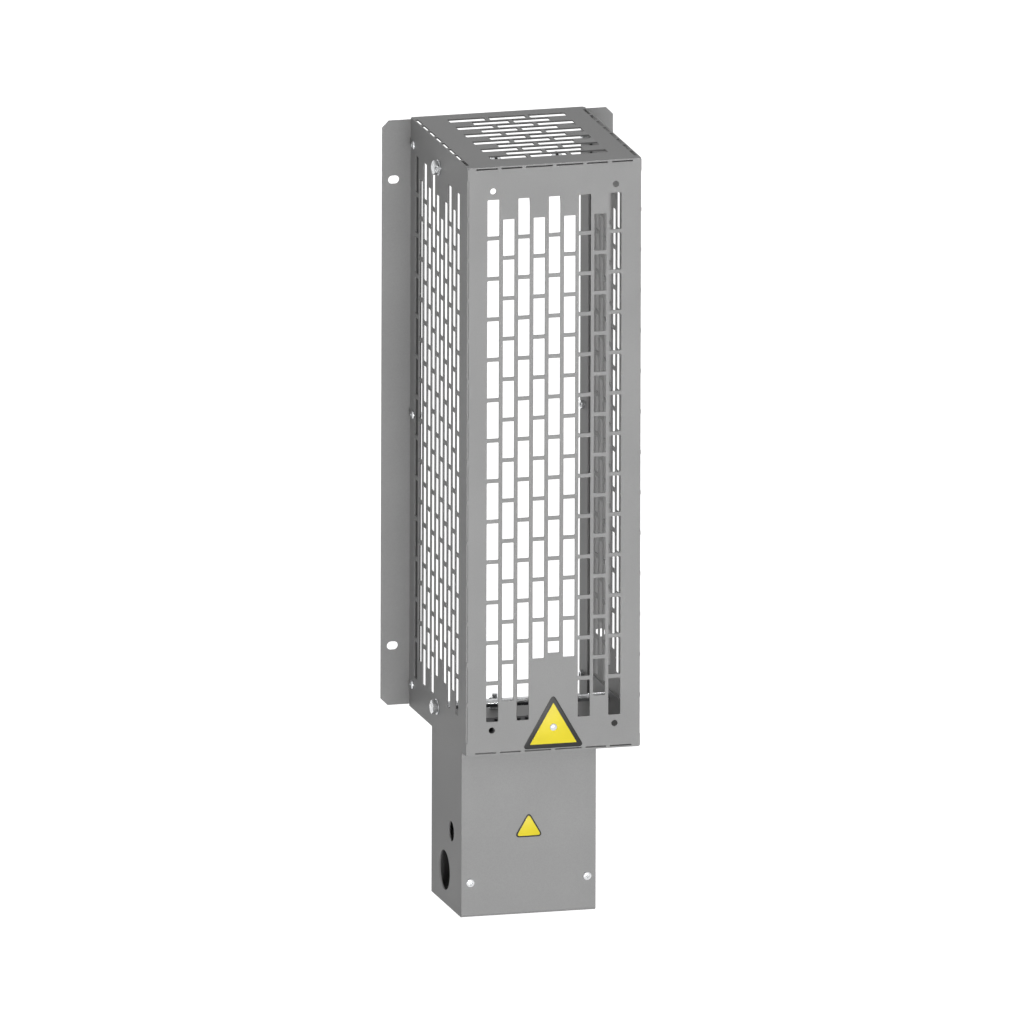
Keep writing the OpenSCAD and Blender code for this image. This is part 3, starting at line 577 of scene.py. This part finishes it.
NUTS = (  # piece, node, width over the flats, bore, side
    ("rail_nuts_chamfered", "rail_nuts", 8.0, 5.0, "out"),
    ("tie_rod_nuts_chamfered", "tie_rod_nuts", 13.0, 8.0, "out"),
    ("hanger_nuts_chamfered", "hanger_nuts", 13.0, 8.0, "out"),
    ("support_nuts_chamfered", "support_rod_nuts", 9.9, 6.0, "out"),
    ("flange_nuts_chamfered", "flange_nuts", 7.0, 4.0, "z"),
    ("bushing_nuts_chamfered", "bushing_nuts", 11.0, 8.0, "z"),
    ("pin_nuts_chamfered", "pin_nuts", 5.0, 2.4, "z"),
    ("cover_nuts_chamfered", "cover_nuts", 9.0, 5.8, "y"),
)
SCREWS = (  # piece, node, thread, side of the head, body
    ("cover_screws_recessed", "cover_screws", 5.0, "-y", "cover"),
    ("rail_screws_recessed", "rail_screws", 5.0, "out", "cage"),
    ("flange_screws_recessed", "flange_screws", 4.0, "z", "cage"),
    ("box_screws_recessed", "box_screws", 4.0, "-z", "cage"),
)
SCREW_HEAD_HEIGHT = 2.8


def hex_nut(flats, height, bore):
    """Nut standing on the origin: a turned blank with countersunk bore and chamfers, cut to six flats."""
    hole = bore / 2
    sink, chamfer, face, blank_radius = 0.1 * hole, 0.07 * flats, 0.475 * flats, 0.6 * flats
    outline = [(hole + sink, 0.0), (face, 0.0), (blank_radius, chamfer), (blank_radius, height - chamfer),
               (face, height), (hole + sink, height), (hole, height - sink), (hole, sink), (hole + sink, 0.0)]
    nut = turned("nut", outline, segments=42)
    six_flats = begin("six_flats", bpy.ops.mesh.primitive_cylinder_add, vertices=6,
                      radius=flats * MM / 2 / math.cos(math.radians(30.0)), depth=3 * height * MM,
                      location=(0.0, 0.0, height * MM / 2), rotation=(0.0, 0.0, math.radians(90.0)))
    apply_place(six_flats)
    cut_with(nut, "INTERSECT", six_flats)
    clear_slivers(nut)
    return nut


def make_nuts():
    for name, node, flats, bore, side in NUTS:
        nut = hex_nut(flats, length_of(node, side), bore)
        set_of_copies(name, nut, spots(node, side), "cage", "zinc", node)


def screw_line(thread, head, length):
    """Threaded shank below the origin plane and a domed head above it."""
    radius, neck, edge = thread / 2, 0.6, 0.15
    line = [(0.0, -length), (radius * 0.8, -length)]
    line += thread_line(radius, 0.3 - length, -neck, pitch=thread * 0.16, depth=thread * 0.09)
    line += [(radius, -neck), (radius, 0.0), (head - edge, 0.0), (head, edge)]
    rim = SCREW_HEAD_HEIGHT * 0.4
    for angle in range(0, 90, 15):
        out, up = math.cos(math.radians(angle)) ** 0.6, math.sin(math.radians(angle))
        line.append((head * out, rim + (SCREW_HEAD_HEIGHT - rim) * up))
    return line + [(0.0, SCREW_HEAD_HEIGHT)]


def cross_screw(thread, length):
    """Screw with a cross recess that narrows towards its floor."""
    head = 0.9 * thread
    span, width, deep, floor_share = head * 1.15, head * 0.34, SCREW_HEAD_HEIGHT * 1.1, 0.6
    screw = turned("screw", screw_line(thread, head, length), segments=32)
    for angle in (0.0, 90.0):
        recess = begin("recess", bpy.ops.mesh.primitive_cube_add, size=1.0,
                       location=(0.0, 0.0, SCREW_HEAD_HEIGHT * MM), rotation=(0.0, 0.0, math.radians(angle)),
                       scale=(span * MM, width * MM, deep * MM))
        apply_place(recess)
        open_mesh("FACE")
        pick_faces(recess, lambda normal: normal.z < -0.9)
        bpy.ops.transform.resize(value=(floor_share, floor_share, 1.0), center_override=(0.0, 0.0, 0.0))
        close_mesh()
        cut_with(screw, "DIFFERENCE", recess)
    clear_slivers(screw)
    return screw


def head_seats(node, side):
    """Where the head of each screw of a node sits, and the screw's turn."""
    axis = axis_of(side)
    places = []
    for low, high in solids(node):
        spot = middle_of(low, high)
        towards = facing(side, spot)
        head = SCREW_HEAD_HEIGHT * MM
        spot[axis] = low[axis] + head if towards[0] == "-" else high[axis] - head
        places.append((spot, TURNS[towards]))
    return places


def make_screws():
    for name, node, thread, side, body in SCREWS:
        screw = cross_screw(thread, length_of(node, side) - SCREW_HEAD_HEIGHT)
        set_of_copies(name, screw, head_seats(node, side), body, "zinc", node)


make_nuts()
make_screws()


# Rods, washers, spools, beads, rivet and floor stud

TURNED_PARTS = (  # piece, node, outline, side, finish
    ("upper_tie_rod_threaded", "upper_tie_rod", tie_rod_line, "x", "zinc"),
    ("lower_tie_rod_threaded", "lower_tie_rod", tie_rod_line, "x", "zinc"),
    ("support_rod_threaded", "support_rod", support_rod_line, "x", "zinc"),
    ("tie_rod_washers_rounded", "tie_rod_washers", washer_line, "x", "zinc"),
    ("spools_glazed", "ceramic_spools", spool_line, "x", "ceramic"),
    ("beads_glazed", "ceramic_beads", bead_line, "z", "ceramic"),
    ("plate_rivet_domed", "plate_rivet", rivet_line, "-y", "zinc"),
    ("floor_stud_threaded", "floor_stud", stud_line, "z", "zinc"),
)
STUD_STACK = (("washer", 1.6), ("nut", 5.0), ("washer", 1.0), ("nut", 4.0))


def make_turned_parts():
    for name, node, outline, side, finish in TURNED_PARTS:
        master = turned(name, outline(length_of(node, side)))
        set_of_copies(name, master, spots(node, side), "cage", finish, node)


def make_stud_stack():
    """The floor stud's washers and nuts, one on the other."""
    low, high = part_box("floor_stud_nuts")
    centre = middle_of(low, high)
    stack = []
    rise = 0.0
    for kind, height in STUD_STACK:
        if kind == "nut":
            piece = hex_nut(10.0, height, 6.0)
        else:
            piece = turned("washer", ring_line(outer=6.0, bore=3.0, height=height, edge=0.2))
        piece.data.transform(Matrix.Translation((centre.x, centre.y, low.z + rise * MM)))
        stack.append(piece)
        rise += height
    settle(join_pieces("floor_stud_nuts_chamfered", stack), "cage", "zinc", "floor_stud_nuts")


make_turned_parts()
make_stud_stack()


# Triangular plates: sizes in millimetres

PLATES = (  # piece, node, the node's corner radius, corner radius, growth, edge, body, finish
    ("large_plate_rim", "large_triangle_plate", 3.0, 3.0, 0.0, 0.2, "cage", "plate_rim"),
    ("large_plate_field", "large_triangle_field", 0.4, 0.4, 0.0, 0.1, "cage", "plate_field"),
    ("small_plate_rim", "small_triangle_plate", 1.4, 3.2, 0.7, 0.2, "cover", "plate_rim"),
    ("small_plate_field", "small_triangle_field", 0.4, 1.9, 0.3, 0.1, "cover", "plate_field"),
)
CORNER_REACH = 1.73  # how far a corner's rounding reaches along its sides, for a radius of 1


def rounded_triangle(name, inner, rounding, thickness, edge):
    """Triangle lying on the XY plane, its middle in the origin and its sides at the distance inner."""
    piece = begin(name, bpy.ops.mesh.primitive_circle_add, vertices=3, radius=2 * inner,
                  fill_type="NGON")
    open_mesh("VERT")
    bpy.ops.mesh.bevel(offset=rounding * CORNER_REACH, segments=8, affect="VERTICES", profile=0.5)
    bpy.ops.mesh.select_mode(type="FACE")
    bpy.ops.mesh.select_all(action="SELECT")
    bpy.ops.mesh.extrude_region_move(TRANSFORM_OT_translate={"value": (0.0, 0.0, thickness)})
    pick_edges(piece, lambda end: abs(end.z - thickness) < SAME_POINT)
    bpy.ops.mesh.bevel(offset=edge, segments=2)
    bpy.ops.mesh.select_all(action="SELECT")
    bpy.ops.mesh.normals_make_consistent(inside=False)
    close_mesh()
    return piece


def make_plates():
    """Each plate stands where its node does; the node's corner radius gives the triangle's middle."""
    for name, node, node_rounding, rounding, growth, edge, body, finish in PLATES:
        low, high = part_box(node)
        inner = (high.z - low.z + node_rounding * MM) / 3
        piece = rounded_triangle(name, inner + growth * MM, rounding * MM, high.y - low.y, edge * MM)
        spot = Vector(((low.x + high.x) / 2, high.y, low.z + inner))
        piece.data.transform(Matrix.Translation(spot) @ TURNS["-y"])
        settle(piece, body, finish, node)


make_plates()


# Leads inside the box: millimetres from the middle of the cage's lower front edge

POWER_START = (48.6, -19.8)
POWER_WAY_OUT = (0.0, -14.0, -4.0)
TERMINAL_ENTRY = (99.76, -77.04)
LEADS = (  # piece, node, radius, start, way out of it, end, height of the bend over the end
    ("power_lead_1_sleeve", "power_lead_1", 2.0,
     (-23.7, *POWER_START), POWER_WAY_OUT, (-28.0, *TERMINAL_ENTRY), 30.0),
    ("power_lead_2_sleeve", "power_lead_2", 2.0,
     (23.7, *POWER_START), POWER_WAY_OUT, (-15.8, *TERMINAL_ENTRY), 30.0),
    ("switch_lead_1_sleeve", "switch_leads", 1.0,
     (-49.5, 87.9, -13.0), (0.0, 4.0, -16.0), (5.6, *TERMINAL_ENTRY), 34.0),
    ("switch_lead_2_sleeve", "switch_leads", 1.0,
     (-43.5, 87.9, -13.0), (0.0, 10.0, -16.0), (11.8, *TERMINAL_ENTRY), 34.0),
)


def cage_point(point):
    corner = cage_corner()
    return Vector((point[0] * MM, corner.y + point[1] * MM, corner.z + point[2] * MM))


def make_lead(name, node, radius, start, way_out, end, rise):
    """Sleeved wire on one smooth curve, capped at both ends."""
    data = bpy.data.curves.new(name, "CURVE")
    data.dimensions = "3D"
    data.bevel_depth = radius * MM
    data.bevel_resolution = 4
    data.resolution_u = 32
    data.use_fill_caps = True
    spline = data.splines.new("BEZIER")
    spline.bezier_points.add(1)
    first, last = spline.bezier_points
    first.co, last.co = cage_point(start), cage_point(end)
    first.handle_right = first.co + Vector(way_out) * MM
    first.handle_left = first.co - Vector(way_out) * MM
    last.handle_left = last.co + Vector((0.0, 0.0, rise)) * MM
    last.handle_right = last.co - Vector((0.0, 0.0, rise)) * MM
    lead = bpy.data.objects.new(name, data)
    scene.collection.objects.link(lead)
    select_only(lead)
    bpy.ops.object.convert(target="MESH")
    settle(bpy.context.object, "cage", "lead_sleeve", node)


def make_leads():
    for facts in LEADS:
        make_lead(*facts)


make_leads()


# Terminals, end stops and thermal switch: the CAD forms with their sharp edges rounded over

MOULDINGS = (  # node, rounding in millimetres, finish
    ("power_terminal_1", 0.35, "grey_plastic"),
    ("power_terminal_2", 0.35, "grey_plastic"),
    ("switch_terminals", 0.35, "grey_plastic"),
    ("end_stops", 0.35, "grey_plastic"),
    ("earth_terminal", 0.35, "earth_plastic"),
    ("thermal_switch", 0.3, "black_plastic"),
)
SHARP_ABOVE = math.radians(40.0)


def make_mouldings():
    for node, rounding, finish in MOULDINGS:
        piece = merged_copy(node + "_moulded", node)
        finish_modifier(piece, "BEVEL", width=rounding * MM, segments=2, limit_method="ANGLE",
                        angle_limit=SHARP_ABOVE)
        settle(piece, "cage", finish, node)


make_mouldings()


# Roof with its front lip set back, so that the slits along the bend look into the dark

SHEET = 1.5 * MM
LIP_SET_BACK = 9.0 * MM  # from the roof's front edge
ROOF_SLIT = 3.2 * MM  # kept free at both ends of the lip
SINK = 0.02 * MM  # how far the lip goes into the sheet
OLD_LIP = (0.9 * SHEET, 2.1 * SHEET)  # its depths behind the front edge, with a little to spare


def make_roof():
    low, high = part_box("roof_panel")
    underside = high.z - SHEET + SINK
    roof = merged_copy("roof_panel_bent", "roof_panel")
    old_lip = block("old_lip", Vector((low.x - SHEET, low.y + OLD_LIP[0], low.z - SHEET)),
                    Vector((high.x + SHEET, low.y + OLD_LIP[1], underside)))
    new_lip = block("new_lip", Vector((low.x + ROOF_SLIT, low.y + LIP_SET_BACK, low.z)),
                    Vector((high.x - ROOF_SLIT, low.y + LIP_SET_BACK + SHEET, underside)))
    cut_with(roof, "DIFFERENCE", old_lip)
    cut_with(roof, "UNION", new_lip)
    settle(roof, "cage", "coated_steel", "roof_panel")


make_roof()


# Studio: pale floor, white surroundings and three soft lamps

FLOOR_DROP = 0.03
FLOOR_SIZE = 14.0
FLOOR_GLOW = 0.94
AMBIENT = 0.37
LAMPS = (  # lamp, place, aim, size, power
    ("front_lamp", (-0.12, -4.6, -0.6), (0.0, 0.0, -0.1), 2.2, 282.0),
    ("top_lamp", (0.1, -0.3, 2.6), (0.0, -0.1, 0.0), 1.4, 2.0),
    ("rear_lamp", (0.0, 4.6, -0.8), (0.0, 0.0, -0.1), 2.0, 95.0),
)


def seen_rays(tree):
    """1 for the rays that show the background: straight, mirrored or passed through."""
    path = add(tree, "ShaderNodeLightPath")
    reached = path.outputs["Is Camera Ray"]
    for kind in ("Is Glossy Ray", "Is Transmission Ray"):
        either = add(tree, "ShaderNodeMath", operation="MAXIMUM")
        tree.links.new(reached, either.inputs[0])
        tree.links.new(path.outputs[kind], either.inputs[1])
        reached = either.outputs[0]
    return reached


def pale_floor():
    """Ground that is white to the eye and keeps the object's shadow."""
    lowest = CAD_BOX[0][2]
    floor = begin("studio_floor", bpy.ops.mesh.primitive_plane_add, size=FLOOR_SIZE,
                  location=(0.0, 0.0, lowest - FLOOR_DROP))
    material, tree, shader = new_material("pale floor")
    shader.inputs["Base Color"].default_value = (*grey(0.5), 1.0)
    shader.inputs["Roughness"].default_value = 0.9
    glow = add(tree, "ShaderNodeEmission", Strength=FLOOR_GLOW)
    both = add(tree, "ShaderNodeAddShader")
    chosen = add(tree, "ShaderNodeMixShader")
    tree.links.new(shader.outputs[0], both.inputs[0])
    tree.links.new(glow.outputs[0], both.inputs[1])
    tree.links.new(seen_rays(tree), chosen.inputs[0])
    tree.links.new(shader.outputs[0], chosen.inputs[1])
    tree.links.new(both.outputs[0], chosen.inputs[2])
    tree.links.new(chosen.outputs[0], tree.nodes["Material Output"].inputs["Surface"])
    floor.data.materials.append(material)


def white_world():
    """White where it is seen, and a softer light on the object."""
    world = bpy.data.worlds.new("white studio")
    scene.world = world
    world.use_nodes = True
    tree = world.node_tree
    back = tree.nodes["Background"]
    back.inputs["Color"].default_value = (*grey(1.0), 1.0)
    level = add(tree, "ShaderNodeMapRange")
    level.inputs["To Min"].default_value = AMBIENT
    level.inputs["To Max"].default_value = 1.0
    tree.links.new(seen_rays(tree), level.inputs["Value"])
    tree.links.new(level.outputs["Result"], back.inputs["Strength"])


def make_lamps():
    for name, place, aim, size, power in LAMPS:
        data = bpy.data.lights.new(name, "AREA")
        data.shape = "DISK"
        data.size = size
        data.energy = power
        light = bpy.data.objects.new(name, data)
        scene.collection.objects.link(light)
        turn = (Vector(aim) - Vector(place)).to_track_quat("-Z", "Y").to_matrix()
        light.matrix_world = Matrix.Translation(place) @ turn.to_4x4()


pale_floor()
white_world()
make_lamps()
scene.view_settings.view_transform = "Standard"
